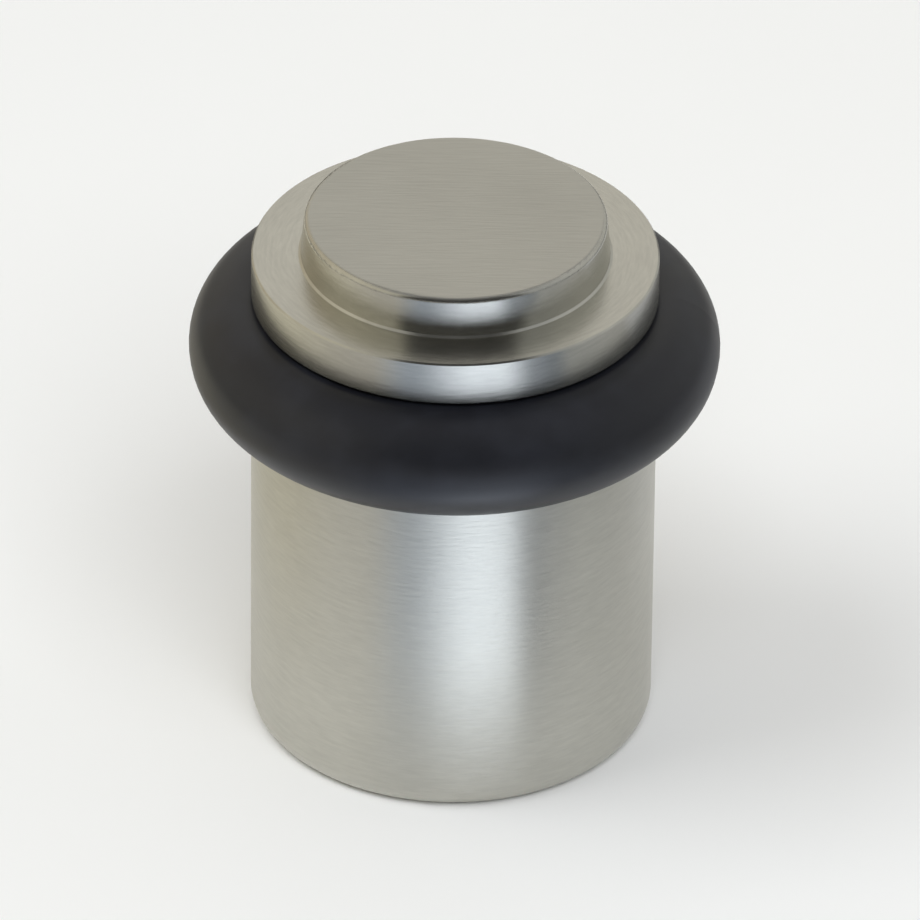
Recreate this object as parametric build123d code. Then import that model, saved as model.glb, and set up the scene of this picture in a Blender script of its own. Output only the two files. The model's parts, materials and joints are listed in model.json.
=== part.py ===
from build123d import *
import math
import os

# Floor door stop: a stepped body turned from solid bar, and a round rubber
# buffer ring stretched into its groove.
# Millimetres, +Z up, origin at the centre of the base.

# Body
body_diameter = 30.0
overall_height = 42.6
step_height = 3.1
step_draft_angle = 5.0
ledge_width = 3.6
collar_height = 3.6

# Buffer ring
ring_section_diameter = 8.4
ring_projection = 4.6
ring_squeeze = 0.1
ring_side_clearance = 0.05

# Rounded edges
base_edge_radius = 1.5
step_edge_radius = 0.4

# Bevelled edges and corners
step_root_bevel = 0.15
collar_edge_bevel = 0.12
groove_edge_bevel = 0.25

# Fixing hole in the base, with its wall at the full diameter of the thread
fixing_thread_diameter = 6.0
fixing_thread_depth = 14.0
fixing_mouth_chamfer = 0.6
drill_point_angle = 118.0

# Radii and heights worked out from the sizes above
body_radius = body_diameter / 2
step_radius = body_radius - ledge_width
step_face_radius = step_radius - step_height * math.tan(math.radians(step_draft_angle))
ring_section_radius = ring_section_diameter / 2
ring_centre_radius = body_radius + ring_projection - ring_section_radius
groove_root_radius = ring_centre_radius - ring_section_radius + ring_squeeze
groove_height = ring_section_diameter + 2 * ring_side_clearance
ledge_level = overall_height - step_height
groove_top = ledge_level - collar_height
groove_bottom = groove_top - groove_height
ring_centre_level = groove_bottom + groove_height / 2


def corner_at(profile, corner):
    """The vertex of a flat profile that lies nearest to a point (radius, height)."""
    return profile.vertices().sort_by_distance(Vector(*corner))[0]


def turn(profile):
    """Turn a profile drawn as (radius, height) about the vertical axis."""
    return revolve(Plane.XZ * profile, Axis.Z)


def body_profile():
    """Half section of the body, from its base up to the face of the tapered step."""
    base_edge = (body_radius, 0)
    shoulder_edge = (body_radius, groove_bottom)
    groove_low_corner = (groove_root_radius, groove_bottom)
    groove_high_corner = (groove_root_radius, groove_top)
    collar_low_edge = (body_radius, groove_top)
    collar_high_edge = (body_radius, ledge_level)
    step_root = (step_radius, ledge_level)
    step_edge = (step_face_radius, overall_height)

    outline = Polyline(
        (0, 0),
        base_edge,
        shoulder_edge,
        groove_low_corner,
        groove_high_corner,
        collar_low_edge,
        collar_high_edge,
        step_root,
        step_edge,
        (0, overall_height),
        close=True,
    )
    profile = make_face(outline)
    profile = fillet(corner_at(profile, base_edge), base_edge_radius)
    profile = fillet(corner_at(profile, step_edge), step_edge_radius)
    profile = chamfer(corner_at(profile, step_root), step_root_bevel)
    profile = chamfer(corner_at(profile, collar_high_edge), collar_edge_bevel)
    profile = chamfer(corner_at(profile, collar_low_edge), groove_edge_bevel)
    profile = chamfer(corner_at(profile, shoulder_edge), groove_edge_bevel)
    return profile


def fixing_hole():
    """Blind hole up the axis from the base, with a chamfered mouth and a drill point."""
    hole_radius = fixing_thread_diameter / 2
    mouth_radius = hole_radius + fixing_mouth_chamfer
    point_height = hole_radius / math.tan(math.radians(drill_point_angle / 2))
    outline = Polyline(
        (0, 0),
        (mouth_radius, 0),
        (hole_radius, fixing_mouth_chamfer),
        (hole_radius, fixing_thread_depth),
        (0, fixing_thread_depth + point_height),
        close=True,
    )
    return turn(make_face(outline))


def stop_body():
    """The turned body: step, collar, ring groove, barrel and fixing hole in one piece."""
    return turn(body_profile()) - fixing_hole()


def buffer_ring():
    """Rubber ring of round section, pressed flat where it grips the root of the groove."""
    section = Pos(ring_centre_radius, ring_centre_level) * Circle(ring_section_radius)
    root = Pos(0, ring_centre_level) * Rectangle(2 * groove_root_radius, ring_section_diameter)
    return turn(section - root)


os.makedirs("parts", exist_ok=True)
export_step(stop_body(), "parts/stop_body.step")
export_step(buffer_ring(), "parts/buffer_ring.step")
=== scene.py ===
import json
import math

import bpy
from bpy.props import FloatProperty, FloatVectorProperty, IntProperty, PointerProperty
from mathutils import Matrix, Vector


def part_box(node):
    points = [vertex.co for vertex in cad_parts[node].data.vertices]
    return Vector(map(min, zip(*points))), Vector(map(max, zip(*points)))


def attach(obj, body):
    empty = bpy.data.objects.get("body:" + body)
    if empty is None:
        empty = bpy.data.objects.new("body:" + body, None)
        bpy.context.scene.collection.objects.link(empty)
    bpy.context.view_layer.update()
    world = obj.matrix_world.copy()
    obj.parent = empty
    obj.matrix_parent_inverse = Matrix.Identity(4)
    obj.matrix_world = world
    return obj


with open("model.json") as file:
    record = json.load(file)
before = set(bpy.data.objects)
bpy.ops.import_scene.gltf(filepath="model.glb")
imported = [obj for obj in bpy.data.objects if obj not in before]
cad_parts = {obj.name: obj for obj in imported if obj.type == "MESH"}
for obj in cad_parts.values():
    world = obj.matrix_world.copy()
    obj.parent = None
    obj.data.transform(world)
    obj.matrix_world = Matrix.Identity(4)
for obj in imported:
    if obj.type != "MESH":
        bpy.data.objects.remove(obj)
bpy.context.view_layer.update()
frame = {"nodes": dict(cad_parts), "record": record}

bl_info = {
    "name": "Stepped Door Stop",
    "version": (1, 0, 0),
    "blender": (4, 5, 0),
    "location": "View3D > Sidebar > Door Stop",
    "description": "Finishes a turned floor door stop and its rubber buffer ring, and sets the studio",
    "category": "Object",
}

MM = 0.001
FULL_TURN = 360
PHOTO_WIDTH = 920
SENSOR_WIDTH = 36.0

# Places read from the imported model
BODY_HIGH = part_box("stop_body")[1]
RING_LOW, RING_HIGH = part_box("buffer_ring")
TOP_LEVEL = BODY_HIGH.z
BODY_RADIUS = BODY_HIGH.x
MOUNTS = {mount["name"]: mount for mount in frame["record"]["mounts"]}
THREAD_HOLE = MOUNTS["fixing_hole"]["dims"]

# Levels between which turned lines give way to the straight ones of the step's face
FACE_LOW = TOP_LEVEL - 0.08 * MM
FACE_HIGH = TOP_LEVEL - 0.02 * MM

# Flats of the thread as shares of its pitch: between two turns of the ridge, and on its crest
ROOT_FLAT = 1 / 8
CREST_FLAT = 1 / 4

# Noise of the brush lines, and the levels between which nearly all of a noise lies
LINE_NOISE = {"Scale": 1.0, "Detail": 3.0, "Roughness": 0.6}
NOISE_LOW, NOISE_HIGH = 0.3, 0.7

# How much the mottle counts beside the lines in the tint of the body
MOTTLE_SHARE = 0.5

# Levels of noise between which the tint of the cut thread and the bloom of the rubber change
CUT_TINT_LOW, CUT_TINT_HIGH = 0.7, 1.3
BLOOM_LOW, BLOOM_HIGH = 0.4, 0.65

# A quarter turn of the highlights, so that they stretch across the brush lines
ACROSS_LINES = 0.25

# Sockets of a Mix node for each type of data: its two inputs and its output
MIX_SOCKETS = {"FLOAT": (2, 3, 0), "VECTOR": (4, 5, 1), "RGBA": (6, 7, 2)}

# Tones of the studio by bearing: 0 degrees is at the camera, 90 is on its right
NEAR_BENCH_TONES = (
    (-180, (0.62, 0.60, 0.54)),
    (-125, (0.24, 0.21, 0.12)),
    (-90, (0.66, 0.60, 0.44)),
    (-45, (1.05, 1.02, 0.95)),
    (-22, (0.84, 0.96, 1.16)),
    (13, (2.95, 3.24, 3.68)),
    (24, (2.90, 3.18, 3.62)),
    (39, (0.03, 0.05, 0.09)),
    (51, (0.06, 0.08, 0.12)),
    (64, (0.72, 0.75, 0.76)),
    (100, (0.84, 0.86, 0.88)),
    (180, (0.62, 0.60, 0.54)),
)
FAR_BENCH_TONES = (
    (-180, (0.62, 0.60, 0.54)),
    (-110, (0.78, 0.74, 0.60)),
    (-45, (0.56, 0.54, 0.50)),
    (-22, (0.44, 0.50, 0.60)),
    (13, (1.22, 1.33, 1.53)),
    (24, (1.19, 1.30, 1.49)),
    (43, (0.36, 0.40, 0.47)),
    (52, (0.27, 0.30, 0.35)),
    (64, (0.42, 0.43, 0.43)),
    (100, (0.48, 0.48, 0.47)),
    (107, (0.62, 0.63, 0.65)),
    (180, (0.62, 0.60, 0.54)),
)
WALL_TONES = (
    (-180, (0.75, 0.73, 0.68)),
    (-135, (0.60, 0.54, 0.42)),
    (-90, (0.72, 0.68, 0.56)),
    (-30, (0.62, 0.60, 0.52)),
    (60, (0.46, 0.47, 0.47)),
    (110, (0.60, 0.60, 0.58)),
    (140, (0.56, 0.56, 0.53)),
    (180, (0.75, 0.73, 0.68)),
)
CEILING_TONE = (0.35, 0.35, 0.35)
OPENING_TONE = (0.06, 0.06, 0.06)

# Limits of the dim ceiling and of the dark opening behind the camera, in degrees
CEILING_HEIGHTS = (42, 66)
OPENING_HEIGHTS = (3, 8, 64, 76)
OPENING_BEARINGS = (-46, -35, 46, 58)

# Share of the near tones, and strengths of the bench, at distances from the axis
BENCH_NEAR = {"low": 36 * MM, "high": 66 * MM, "to_low": 1.0, "to_high": 0.0}
BENCH_MIDDLE = {"low": 90 * MM, "high": 125 * MM, "to_low": 1.0, "to_high": 1.4}
BENCH_FAR = {"low": 170 * MM, "high": 220 * MM, "to_low": 1.0, "to_high": 0.06}

# Levels and reaches of the floor and the bench, and the margin from the picture's edge to the bench
FLOOR_LEVEL = 0.0
FLOOR_REACH = 4.0
BENCH_LEVEL = 0.5 * MM
BENCH_REACH = 0.9
BENCH_MARGIN = 2 * MM


class DoorStopMetal(bpy.types.PropertyGroup):
    """Satin finish of the turned body"""

    dark: FloatVectorProperty(
        name="Dark lines", description="Colour in the bottom of the brush lines",
        subtype="COLOR", size=4, min=0, max=1, default=(0.512, 0.504, 0.459, 1))
    light: FloatVectorProperty(
        name="Light lines", description="Colour on the crests of the brush lines",
        subtype="COLOR", size=4, min=0, max=1, default=(0.608, 0.599, 0.546, 1))
    roughness: FloatProperty(
        name="Roughness", description="Middle roughness of the turned step, ledge and collar",
        subtype="FACTOR", min=0, max=1, default=0.22)
    top_roughness: FloatProperty(
        name="Top roughness", description="Middle roughness of the face of the step",
        subtype="FACTOR", min=0, max=1, default=0.3)
    barrel_roughness: FloatProperty(
        name="Barrel roughness", description="Middle roughness of the strongly brushed barrel",
        subtype="FACTOR", min=0, max=1, default=0.39)
    roughness_swing: FloatProperty(
        name="Roughness swing", description="How far the lines move the roughness either way",
        subtype="FACTOR", min=0, max=0.2, default=0.015)
    anisotropy: FloatProperty(
        name="Stretch", description="How far highlights stretch across the brush lines",
        subtype="FACTOR", min=0, max=1, default=0.8)
    line_length: FloatProperty(
        name="Line length", description="Usual length of a brush line around the axis",
        unit="LENGTH", min=0.0005, default=1.8 * MM)
    top_line_length: FloatProperty(
        name="Top line length", description="Usual length of a brush line on the face of the step",
        unit="LENGTH", min=0.0005, default=3.6 * MM)
    line_spacing: FloatProperty(
        name="Line spacing", description="Usual distance from one brush line to the next",
        unit="LENGTH", min=0.00002, default=0.24 * MM)
    line_depth: FloatProperty(
        name="Line depth", description="Depth of the brush lines",
        unit="LENGTH", min=0, default=0.028 * MM)
    turned_depth: FloatProperty(
        name="Turned depth", description="Share of that depth on the turned step, ledge and collar",
        subtype="FACTOR", min=0, max=1, default=0.2)
    mottle_size: FloatProperty(
        name="Mottle size", description="Size of the faint uneven patches in the colour",
        unit="LENGTH", min=0.0005, default=9 * MM)


class DoorStopRubber(bpy.types.PropertyGroup):
    """Finish of the buffer ring"""

    colour: FloatVectorProperty(
        name="Colour", description="Colour of the clean rubber",
        subtype="COLOR", size=4, min=0, max=1, default=(0.0085, 0.009, 0.0125, 1))
    bloom: FloatVectorProperty(
        name="Bloom", description="Colour where the rubber has a faint dusty bloom",
        subtype="COLOR", size=4, min=0, max=1, default=(0.0135, 0.0145, 0.020, 1))
    bloom_size: FloatProperty(
        name="Bloom size", description="Size of the patches of bloom",
        unit="LENGTH", min=0.0005, default=6 * MM)
    roughness: FloatProperty(
        name="Roughness", description="Middle roughness of the moulded skin",
        subtype="FACTOR", min=0, max=1, default=0.42)
    roughness_swing: FloatProperty(
        name="Roughness swing", description="How far the patches move the roughness either way",
        subtype="FACTOR", min=0, max=0.2, default=0.03)
    refraction: FloatProperty(
        name="Refraction", description="Refractive index of the rubber, which sets its sheen",
        min=1, max=2, default=1.46)
    grain_size: FloatProperty(
        name="Grain size", description="Size of the fine grain of the skin",
        unit="LENGTH", min=0.00002, default=0.12 * MM)
    grain_depth: FloatProperty(
        name="Grain depth", description="Depth of the fine grain",
        unit="LENGTH", min=0, default=0.002 * MM)


class DoorStopThread(bpy.types.PropertyGroup):
    """Thread in the fixing hole"""

    pitch: FloatProperty(
        name="Pitch", description="Rise of the thread in one turn",
        unit="LENGTH", min=0.0002, default=1.0 * MM)
    depth: FloatProperty(
        name="Depth", description="Height of the thread above the wall of the hole",
        unit="LENGTH", min=0.0001, default=0.5 * MM)
    mouth: FloatProperty(
        name="Mouth", description="Level where the wall of the hole starts, above its chamfer",
        unit="LENGTH", min=0, default=0.6 * MM)
    steps: IntProperty(
        name="Steps", description="Straight steps in one turn", min=12, default=48)
    roughness: FloatProperty(
        name="Roughness", description="Middle roughness of the cut metal",
        subtype="FACTOR", min=0, max=1, default=0.29)
    roughness_swing: FloatProperty(
        name="Roughness swing", description="How far the tool lines move the roughness either way",
        subtype="FACTOR", min=0, max=0.2, default=0.05)
    line_length: FloatProperty(
        name="Line length", description="Usual length of a tool line",
        unit="LENGTH", min=0.0005, default=8 * MM)
    line_spacing: FloatProperty(
        name="Line spacing", description="Usual distance from one tool line to the next",
        unit="LENGTH", min=0.00002, default=0.06 * MM)
    mottle_size: FloatProperty(
        name="Mottle size", description="Size of the uneven patches in the colour",
        unit="LENGTH", min=0.0005, default=2 * MM)


class DoorStopStage(bpy.types.PropertyGroup):
    """Camera, floor and lights"""

    elevation: FloatProperty(
        name="Elevation", description="Height of the camera above the horizon",
        subtype="ANGLE", default=math.radians(33.74))
    roll: FloatProperty(
        name="Roll", description="Turn of the camera about its own axis",
        subtype="ANGLE", default=math.radians(0.655))
    distance: FloatProperty(
        name="Distance", description="Distance from the camera to the point it looks at",
        unit="LENGTH", min=0.1, default=1.0)
    focal_pixels: FloatProperty(
        name="Focal length", description="Focal length in pixels of the photograph",
        min=100, default=13481)
    aim: FloatVectorProperty(
        name="Aim", description="Point that the camera looks at",
        subtype="TRANSLATION", unit="LENGTH", default=(0.5 * MM, 0, 21.2 * MM))
    floor_colour: FloatVectorProperty(
        name="Floor", description="Colour of the paper floor",
        subtype="COLOR", size=4, min=0, max=1, default=(0.93, 0.93, 0.93, 1))
    floor_shade: FloatProperty(
        name="Floor shade", description="Share of that colour in the darkest patches of the paper",
        subtype="FACTOR", min=0, max=1, default=0.98)
    floor_mottle: FloatProperty(
        name="Floor mottle", description="Size of the faint patches in the paper",
        unit="LENGTH", min=0.001, default=60 * MM)
    foot_radius: FloatProperty(
        name="Foot rounding", description="How far in under the rounded foot the floor reaches",
        unit="LENGTH", min=0, default=1.7 * MM)
    lamp_size: FloatProperty(
        name="Lamp size", description="Side of each square lamp",
        unit="LENGTH", min=0.01, default=1.25)
    lamp_colour: FloatVectorProperty(
        name="Lamp colour", description="Colour of the lamps",
        subtype="COLOR", size=3, min=0, max=1, default=(0.96, 0.983, 1))
    left_place: FloatVectorProperty(
        name="Left lamp", description="Place of the lamp on the left",
        subtype="TRANSLATION", unit="LENGTH", default=(-1.25, -0.25, 1.75))
    left_power: FloatProperty(
        name="Left power", description="Power of the lamp on the left",
        unit="POWER", min=0, default=14)
    front_place: FloatVectorProperty(
        name="Front lamp", description="Place of the lamp in front",
        subtype="TRANSLATION", unit="LENGTH", default=(0.3, -1.2, 1.5))
    front_power: FloatProperty(
        name="Front power", description="Power of the lamp in front",
        unit="POWER", min=0, default=21)


def add(tree, kind, inputs=None, **settings):
    """Add a node. An input is a plain value or the output socket that feeds it."""
    node = tree.nodes.new(kind)
    for name, value in settings.items():
        setattr(node, name, value)
    for key, value in (inputs or {}).items():
        if isinstance(value, bpy.types.NodeSocket):
            tree.links.new(value, node.inputs[key])
        else:
            node.inputs[key].default_value = value
    return node


def maths(tree, operation, first, second=0.0):
    """Output of a Math node on two values or sockets."""
    return add(tree, "ShaderNodeMath", {0: first, 1: second}, operation=operation).outputs[0]


def ramp(tree, value, low, high, to_low, to_high, smooth=False):
    """Value mapped from one range to another and kept inside it."""
    kind = "SMOOTHSTEP" if smooth else "LINEAR"
    inputs = {"Value": value, "From Min": low, "From Max": high, "To Min": to_low, "To Max": to_high}
    return add(tree, "ShaderNodeMapRange", inputs, interpolation_type=kind).outputs["Result"]


def swing(tree, noise, middle, reach):
    """Value that a noise moves either way from its middle."""
    return ramp(tree, noise, NOISE_LOW, NOISE_HIGH, middle - reach, middle + reach)


def mix(tree, kind, factor, first, second):
    """Output of a Mix node for floats, vectors or colours."""
    first_socket, second_socket, result = MIX_SOCKETS[kind]
    inputs = {0: factor, first_socket: first, second_socket: second}
    return add(tree, "ShaderNodeMix", inputs, data_type=kind).outputs[result]


def place_on(tree):
    """Place on the object, measured from its origin."""
    return add(tree, "ShaderNodeTexCoord").outputs["Object"]


def parts_of(tree, vector):
    """The three coordinates of a vector."""
    return add(tree, "ShaderNodeSeparateXYZ", {0: vector}).outputs


def new_group(name, inputs, output):
    """Empty node group with the named float inputs and one float output."""
    group = bpy.data.node_groups.new(name, "ShaderNodeTree")
    for label, value in inputs.items():
        socket = group.interface.new_socket(label, in_out="INPUT", socket_type="NodeSocketFloat")
        socket.default_value = value
    group.interface.new_socket(output, in_out="OUTPUT", socket_type="NodeSocketFloat")
    return group, group.nodes.new("NodeGroupInput").outputs, group.nodes.new("NodeGroupOutput").inputs


def turned_lines_group():
    """Fine lines around the axis, on walls and on flats alike, without a seam."""
    name = "Turned Lines"
    if name in bpy.data.node_groups:
        return bpy.data.node_groups[name]
    group, given, result = new_group(name, {"Length": 5 * MM, "Spacing": 0.2 * MM}, "Lines")
    x, y, z = parts_of(group, place_on(group))
    square_x = maths(group, "MULTIPLY", x, x)
    square_y = maths(group, "MULTIPLY", y, y)
    radius = maths(group, "SQRT", maths(group, "ADD", square_x, square_y))
    safe_radius = maths(group, "MAXIMUM", radius, MM)
    turns = maths(group, "DIVIDE", BODY_RADIUS, given["Length"])
    around_x = maths(group, "MULTIPLY", maths(group, "DIVIDE", x, safe_radius), turns)
    around_y = maths(group, "MULTIPLY", maths(group, "DIVIDE", y, safe_radius), turns)
    across = maths(group, "DIVIDE", maths(group, "ADD", z, radius), given["Spacing"])
    vector = add(group, "ShaderNodeCombineXYZ", {0: around_x, 1: around_y, 2: across}).outputs[0]
    noise = add(group, "ShaderNodeTexNoise", {"Vector": vector, **LINE_NOISE})
    group.links.new(noise.outputs["Fac"], result["Lines"])
    return group


def mottle_group():
    """Soft uneven patches, as handling and time leave them."""
    name = "Soft Mottle"
    if name in bpy.data.node_groups:
        return bpy.data.node_groups[name]
    group, given, result = new_group(name, {"Size": 5 * MM, "Detail": 3.0}, "Mottle")
    scale = maths(group, "DIVIDE", 1.0, given["Size"])
    inputs = {"Vector": place_on(group), "Scale": scale, "Detail": given["Detail"]}
    noise = add(group, "ShaderNodeTexNoise", inputs)
    group.links.new(noise.outputs["Fac"], result["Mottle"])
    return group


def use_group(tree, group, inputs):
    """Place a node group with its own values and return its output."""
    return add(tree, "ShaderNodeGroup", inputs, node_tree=group).outputs[0]


def blank_material(name):
    """Material with only an output, and that output's surface socket."""
    material = bpy.data.materials.new(name)
    material.use_nodes = True
    material.node_tree.nodes.clear()
    output = add(material.node_tree, "ShaderNodeOutputMaterial")
    return material, material.node_tree, output.inputs["Surface"]


def straight_lines(tree, x, y, metal):
    """Brush lines from left to right, as on the face of the step."""
    along = maths(tree, "DIVIDE", x, metal.top_line_length)
    across = maths(tree, "DIVIDE", y, metal.line_spacing)
    place = add(tree, "ShaderNodeCombineXYZ", {0: along, 1: across}).outputs[0]
    return add(tree, "ShaderNodeTexNoise", {"Vector": place, **LINE_NOISE}).outputs["Fac"]


def satin_metal(metal):
    """Metal brushed around its turned sides and straight across the face of the step."""
    material, tree, surface = blank_material("satin_metal")
    x, y, z = parts_of(tree, place_on(tree))
    top_face = ramp(tree, z, FACE_LOW, FACE_HIGH, 0, 1, smooth=True)
    barrel = ramp(tree, z, RING_LOW.z, RING_HIGH.z, 1, 0)
    brushed = maths(tree, "MAXIMUM", barrel, top_face)

    spacing = {"Length": metal.line_length, "Spacing": metal.line_spacing}
    turned = use_group(tree, turned_lines_group(), spacing)
    lines = mix(tree, "FLOAT", top_face, turned, straight_lines(tree, x, y, metal))
    mottle = use_group(tree, mottle_group(), {"Size": metal.mottle_size, "Detail": 2.0})

    shading = maths(tree, "ADD", lines, maths(tree, "MULTIPLY", mottle, MOTTLE_SHARE))
    reach = 1 + MOTTLE_SHARE
    tint = ramp(tree, shading, reach * NOISE_LOW, reach * NOISE_HIGH, 0, 1)
    colour = mix(tree, "RGBA", tint, tuple(metal.dark), tuple(metal.light))

    sides = ramp(tree, barrel, 0, 1, metal.roughness, metal.barrel_roughness)
    face = maths(tree, "MULTIPLY", top_face, metal.top_roughness - metal.roughness)
    middle = maths(tree, "ADD", sides, face)
    roughness = maths(tree, "ADD", middle, swing(tree, lines, 0, metal.roughness_swing))

    height = maths(tree, "MULTIPLY", lines, ramp(tree, brushed, 0, 1, metal.turned_depth, 1.0))
    bump = add(tree, "ShaderNodeBump", {"Height": height, "Strength": 1.0, "Distance": metal.line_depth})

    around = add(tree, "ShaderNodeTangent", direction_type="RADIAL", axis="Z").outputs[0]
    straight = add(tree, "ShaderNodeCombineXYZ", {0: 1.0}).outputs[0]
    shader = add(tree, "ShaderNodeBsdfPrincipled", {
        "Base Color": colour,
        "Metallic": 1.0,
        "Roughness": roughness,
        "Anisotropic": metal.anisotropy,
        "Anisotropic Rotation": ACROSS_LINES,
        "Tangent": mix(tree, "VECTOR", top_face, around, straight),
        "Normal": bump.outputs[0],
    })
    tree.links.new(shader.outputs[0], surface)
    return material


def black_rubber(rubber):
    """Smooth moulded rubber with a fine grain and a faint bloom."""
    material, tree, surface = blank_material("black_rubber")
    mottle = use_group(tree, mottle_group(), {"Size": rubber.bloom_size, "Detail": 4.0})
    grain = use_group(tree, mottle_group(), {"Size": rubber.grain_size, "Detail": 2.0})
    bloom = ramp(tree, mottle, BLOOM_LOW, BLOOM_HIGH, 0, 1, smooth=True)
    bump = add(tree, "ShaderNodeBump", {"Height": grain, "Strength": 1.0, "Distance": rubber.grain_depth})
    shader = add(tree, "ShaderNodeBsdfPrincipled", {
        "Base Color": mix(tree, "RGBA", bloom, tuple(rubber.colour), tuple(rubber.bloom)),
        "Roughness": swing(tree, mottle, rubber.roughness, rubber.roughness_swing),
        "IOR": rubber.refraction,
        "Normal": bump.outputs[0],
    })
    tree.links.new(shader.outputs[0], surface)
    return material


def cut_metal(metal, thread):
    """Bare cut metal of the thread, with tool lines along its turns."""
    material, tree, surface = blank_material("cut_metal")
    spacing = {"Length": thread.line_length, "Spacing": thread.line_spacing}
    lines = use_group(tree, turned_lines_group(), spacing)
    mottle = use_group(tree, mottle_group(), {"Size": thread.mottle_size, "Detail": 3.0})
    tint = ramp(tree, maths(tree, "ADD", lines, mottle), CUT_TINT_LOW, CUT_TINT_HIGH, 0, 1)
    shader = add(tree, "ShaderNodeBsdfPrincipled", {
        "Base Color": mix(tree, "RGBA", tint, tuple(metal.dark), tuple(metal.light)),
        "Metallic": 1.0,
        "Roughness": swing(tree, lines, thread.roughness, thread.roughness_swing),
    })
    tree.links.new(shader.outputs[0], surface)
    return material


def paper(stage):
    """Plain pale paper of the floor; from below it is clear, so that the base can be seen."""
    material, tree, surface = blank_material("floor_paper")
    mottle = use_group(tree, mottle_group(), {"Size": stage.floor_mottle, "Detail": 4.0})
    light = tuple(stage.floor_colour)
    shade = (*(stage.floor_shade * channel for channel in light[:3]), 1.0)
    front = add(tree, "ShaderNodeBsdfPrincipled", {
        "Base Color": mix(tree, "RGBA", mottle, shade, light),
        "Roughness": 0.9,
        "Specular IOR Level": 0.0,
    })
    behind = add(tree, "ShaderNodeNewGeometry").outputs["Backfacing"]
    clear = add(tree, "ShaderNodeBsdfTransparent")
    both = add(tree, "ShaderNodeMixShader", {0: behind, 1: front.outputs[0], 2: clear.outputs[0]})
    tree.links.new(both.outputs[0], surface)
    return material


def bench_tone():
    """Tone of the bench, which changes with the bearing and with the distance from the axis."""
    material, tree, surface = blank_material("bench_tone")
    place = place_on(tree)
    x, y, _ = parts_of(tree, place)
    distance = add(tree, "ShaderNodeVectorMath", {0: place}, operation="LENGTH").outputs["Value"]
    near = ramp(tree, distance, **BENCH_NEAR, smooth=True)
    middle = ramp(tree, distance, **BENCH_MIDDLE, smooth=True)
    far = ramp(tree, distance, **BENCH_FAR, smooth=True)
    near_tone = tones_around(tree, x, y, NEAR_BENCH_TONES)
    far_tone = tones_around(tree, x, y, FAR_BENCH_TONES)
    light = add(tree, "ShaderNodeEmission", {
        "Color": mix(tree, "RGBA", near, far_tone, near_tone),
        "Strength": maths(tree, "MULTIPLY", middle, far),
    })
    tree.links.new(light.outputs[0], surface)
    return material


def coat(obj, material):
    """Give an object one material in all its slots."""
    if not obj.data.materials:
        obj.data.materials.append(material)
    for place in obj.material_slots:
        place.material = material


def new_mesh(name, points, faces):
    """Object with a mesh made from points and faces, in the scene's collection."""
    mesh = bpy.data.meshes.new(name)
    mesh.from_pydata(points, [], faces)
    mesh.update()
    obj = bpy.data.objects.new(name, mesh)
    bpy.context.scene.collection.objects.link(obj)
    return obj


def thread_ridge(thread):
    """Helical ridge of a coarse internal thread, from just inside the mouth to the end of the wall."""
    wall = THREAD_HOLE["r_mm"] * MM
    length = THREAD_HOLE["length_mm"] * MM
    crest = wall - thread.depth
    root_half = thread.pitch * (1 - ROOT_FLAT) / 2
    crest_half = thread.pitch * CREST_FLAT / 2
    section = [(wall, -root_half), (crest, -crest_half), (crest, crest_half), (wall, root_half)]
    rise = length - 2 * root_half
    count = int(thread.steps * rise / thread.pitch)
    points = []
    for step in range(count + 1):
        angle = 2 * math.pi * step / thread.steps
        level = thread.mouth + root_half + thread.pitch * step / thread.steps
        for radius, offset in section:
            points.append((radius * math.cos(angle), radius * math.sin(angle), level + offset))
    corners = len(section)
    faces = []
    for step in range(count):
        for corner in range(corners):
            following = (corner + 1) % corners
            a, b = step * corners + corner, step * corners + following
            faces.append((a, b, b + corners, a + corners))
    last = count * corners
    faces.append(tuple(range(corners - 1, -1, -1)))
    faces.append(tuple(last + corner for corner in range(corners)))
    return new_mesh("fixing_thread", points, faces)


def flat_ring(name, inner_edge, outer_radius, level, steps=240):
    """Level ring around the axis, facing up; its inner edge is a radius for each direction."""
    points = []
    for step in range(steps):
        angle = 2 * math.pi * step / steps
        x, y = math.sin(angle), -math.cos(angle)
        for radius in (inner_edge(x, y), outer_radius):
            points.append((radius * x, radius * y, level))
    count = len(points)
    faces = [(2 * s, 2 * s + 1, (2 * s + 3) % count, (2 * s + 2) % count) for s in range(steps)]
    return new_mesh(name, points, faces)


def paper_floor(stage):
    """Floor around the rounded foot, left open under the base."""
    opening = BODY_RADIUS - stage.foot_radius
    floor = flat_ring("floor", lambda x, y: opening, FLOOR_REACH, FLOOR_LEVEL)
    coat(floor, paper(stage))
    return floor


def bench(stage):
    """Bench around the floor in the picture, a card that only reflections show."""
    half = math.atan(PHOTO_WIDTH / 2 / stage.focal_pixels)
    height = stage.aim[2] + stage.distance * math.sin(stage.elevation)
    offset = stage.distance * math.cos(stage.elevation)
    front = offset - height / math.tan(stage.elevation + half) + BENCH_MARGIN
    back = height / math.tan(stage.elevation - half) - offset + BENCH_MARGIN
    side = math.tan(half) * height / math.sin(stage.elevation - half) + BENCH_MARGIN

    def edge_of_picture(x, y):
        end = back if y > 0 else front
        return 1 / max(abs(x) / side, abs(y) / end)

    card = flat_ring("bench", edge_of_picture, BENCH_REACH, BENCH_LEVEL)
    card.visible_camera = False
    card.visible_diffuse = False
    card.visible_transmission = False
    card.visible_shadow = False
    coat(card, bench_tone())
    return card


def softbox(stage, name, place, power):
    """Square area lamp aimed at the foot of the object, and kept out of its reflections."""
    lamp = bpy.data.lights.new(name, "AREA")
    lamp.size = stage.lamp_size
    lamp.energy = power
    lamp.color = stage.lamp_colour
    obj = bpy.data.objects.new(name, lamp)
    obj.location = place
    obj.rotation_euler = Vector(place).to_track_quat("Z", "Y").to_euler()
    obj.visible_camera = False
    obj.visible_glossy = False
    bpy.context.scene.collection.objects.link(obj)


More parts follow.
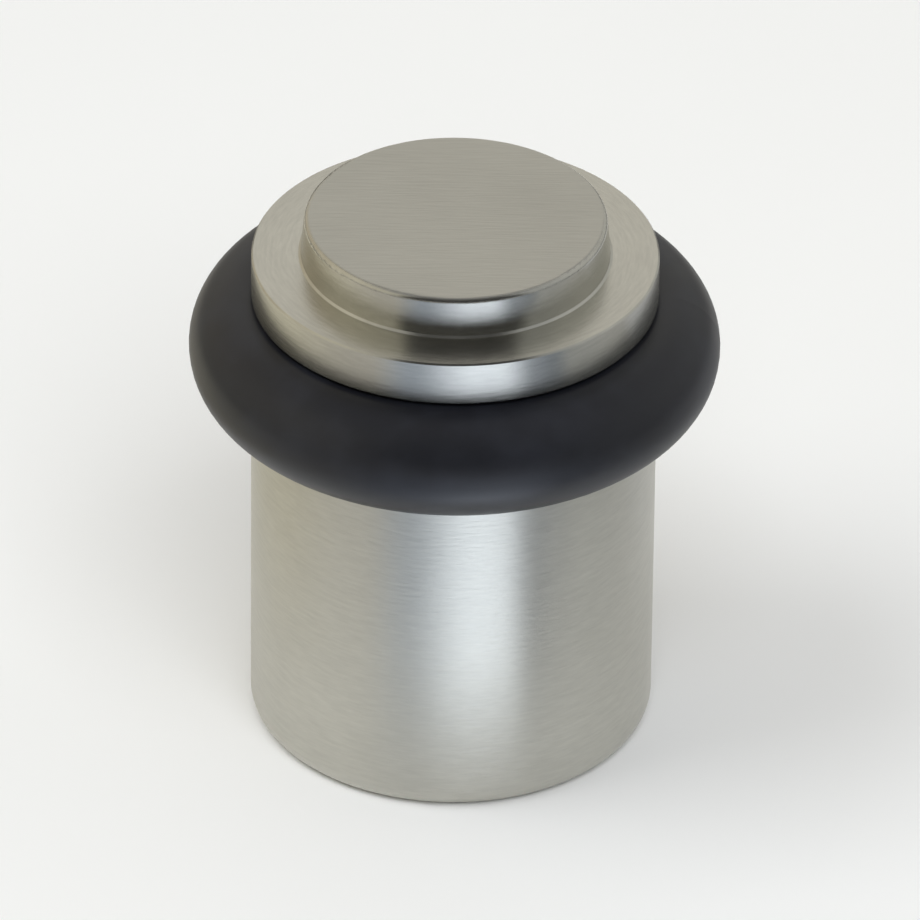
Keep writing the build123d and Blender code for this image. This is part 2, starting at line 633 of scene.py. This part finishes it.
def bearing_of(tree, x, y):
    """Bearing of a direction as a share of a turn, with 0.5 at the camera and more on its right."""
    turn = maths(tree, "ARCTAN2", x, maths(tree, "MULTIPLY", y, -1.0))
    return maths(tree, "ADD", maths(tree, "DIVIDE", turn, 2 * math.pi), 0.5)


def tones_around(tree, x, y, tones):
    """Colour that changes with the bearing, from (degrees, colour) pairs in rising order."""
    node = add(tree, "ShaderNodeValToRGB", {"Fac": bearing_of(tree, x, y)})
    node.color_ramp.interpolation = "EASE"
    stops = node.color_ramp.elements
    while len(stops) < len(tones):
        stops.new(0.5)
    for stop, (degrees, colour) in zip(stops, tones):
        stop.position = degrees / FULL_TURN + 0.5
        stop.color = (*colour, 1)
    return node.outputs["Color"]


def window(tree, value, limits):
    """Mask that rises between the first two limits and falls between the last two."""
    rising = ramp(tree, value, limits[0], limits[1], 0, 1, smooth=True)
    falling = ramp(tree, value, limits[2], limits[3], 1, 0, smooth=True)
    return maths(tree, "MULTIPLY", rising, falling)


def set_world():
    """Studio around the object: pale walls, a dim ceiling and a dark opening behind the camera."""
    world = bpy.data.worlds.new("studio")
    bpy.context.scene.world = world
    world.use_nodes = True
    tree = world.node_tree
    tree.nodes.clear()
    way = add(tree, "ShaderNodeTexCoord").outputs["Generated"]
    x, y, z = parts_of(tree, way)
    bearing = maths(tree, "MULTIPLY", maths(tree, "SUBTRACT", bearing_of(tree, x, y), 0.5), FULL_TURN)
    height = maths(tree, "DEGREES", maths(tree, "ARCSINE", z))
    opening = maths(tree, "MULTIPLY", window(tree, bearing, OPENING_BEARINGS),
                    window(tree, height, OPENING_HEIGHTS))
    ceiling = ramp(tree, height, *CEILING_HEIGHTS, 0, 1, smooth=True)
    colour = mix(tree, "RGBA", ceiling, tones_around(tree, x, y, WALL_TONES), (*CEILING_TONE, 1))
    colour = mix(tree, "RGBA", opening, colour, (*OPENING_TONE, 1))
    background = add(tree, "ShaderNodeBackground", {"Color": colour, "Strength": 1.0})
    output = add(tree, "ShaderNodeOutputWorld")
    tree.links.new(background.outputs[0], output.inputs["Surface"])


def set_camera(stage):
    """Camera at the photograph's viewing angle."""
    rise, roll = stage.elevation, stage.roll
    forward = Vector((0, math.cos(rise), -math.sin(rise)))
    level_right = Vector((1, 0, 0))
    level_up = level_right.cross(forward)
    right = level_right * math.cos(roll) + level_up * math.sin(roll)
    up = level_up * math.cos(roll) - level_right * math.sin(roll)
    camera = bpy.data.cameras.new("camera")
    camera.sensor_width = SENSOR_WIDTH
    camera.lens = stage.focal_pixels * SENSOR_WIDTH / PHOTO_WIDTH
    camera.clip_start = 0.01
    camera.clip_end = 50
    obj = bpy.data.objects.new("camera", camera)
    turn = Matrix((right, up, -forward)).transposed()
    obj.matrix_world = Matrix.Translation(Vector(stage.aim) - forward * stage.distance) @ turn.to_4x4()
    bpy.context.scene.collection.objects.link(obj)
    bpy.context.scene.camera = obj


class DOORSTOP_OT_finish_body(bpy.types.Operator):
    """Give the turned body its satin finish"""

    bl_idname = "doorstop.finish_body"
    bl_label = "Finish Body"

    def execute(self, context):
        coat(frame["nodes"]["stop_body"], satin_metal(context.scene.door_stop_metal))
        return {"FINISHED"}


class DOORSTOP_OT_finish_ring(bpy.types.Operator):
    """Give the buffer ring its rubber finish"""

    bl_idname = "doorstop.finish_ring"
    bl_label = "Finish Ring"

    def execute(self, context):
        coat(frame["nodes"]["buffer_ring"], black_rubber(context.scene.door_stop_rubber))
        return {"FINISHED"}


class DOORSTOP_OT_cut_thread(bpy.types.Operator):
    """Cut the thread in the fixing hole"""

    bl_idname = "doorstop.cut_thread"
    bl_label = "Cut Thread"

    def execute(self, context):
        thread = context.scene.door_stop_thread
        ridge = thread_ridge(thread)
        coat(ridge, cut_metal(context.scene.door_stop_metal, thread))
        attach(ridge, "root")
        return {"FINISHED"}


class DOORSTOP_OT_set_stage(bpy.types.Operator):
    """Set the floor, the bench, the lamps, the surroundings and the camera"""

    bl_idname = "doorstop.set_stage"
    bl_label = "Set Stage"

    def execute(self, context):
        stage = context.scene.door_stop_stage
        paper_floor(stage)
        bench(stage)
        softbox(stage, "left_lamp", stage.left_place, stage.left_power)
        softbox(stage, "front_lamp", stage.front_place, stage.front_power)
        set_world()
        set_camera(stage)
        context.scene.view_settings.view_transform = "Standard"
        return {"FINISHED"}


class DOORSTOP_PT_panel(bpy.types.Panel):
    """Steps of the door stop, in order"""

    bl_idname = "DOORSTOP_PT_panel"
    bl_label = "Door Stop"
    bl_space_type = "VIEW_3D"
    bl_region_type = "UI"
    bl_category = "Door Stop"

    def draw(self, context):
        for step in STEPS:
            self.layout.operator(step.bl_idname)


STEPS = (DOORSTOP_OT_finish_body, DOORSTOP_OT_finish_ring, DOORSTOP_OT_cut_thread, DOORSTOP_OT_set_stage)
SETTINGS = {
    "door_stop_metal": DoorStopMetal,
    "door_stop_rubber": DoorStopRubber,
    "door_stop_thread": DoorStopThread,
    "door_stop_stage": DoorStopStage,
}
CLASSES = (*SETTINGS.values(), *STEPS, DOORSTOP_PT_panel)


def register():
    """Register the settings and the steps, and give the scene its settings."""
    for item in CLASSES:
        bpy.utils.register_class(item)
    for name, group in SETTINGS.items():
        setattr(bpy.types.Scene, name, PointerProperty(type=group))


def unregister():
    """Take the settings and the steps away again."""
    for name in SETTINGS:
        delattr(bpy.types.Scene, name)
    for item in reversed(CLASSES):
        bpy.utils.unregister_class(item)


def main():
    """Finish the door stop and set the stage."""
    register()
    bpy.ops.doorstop.finish_body()
    bpy.ops.doorstop.finish_ring()
    bpy.ops.doorstop.cut_thread()
    bpy.ops.doorstop.set_stage()


if __name__ == "__main__":
    main()
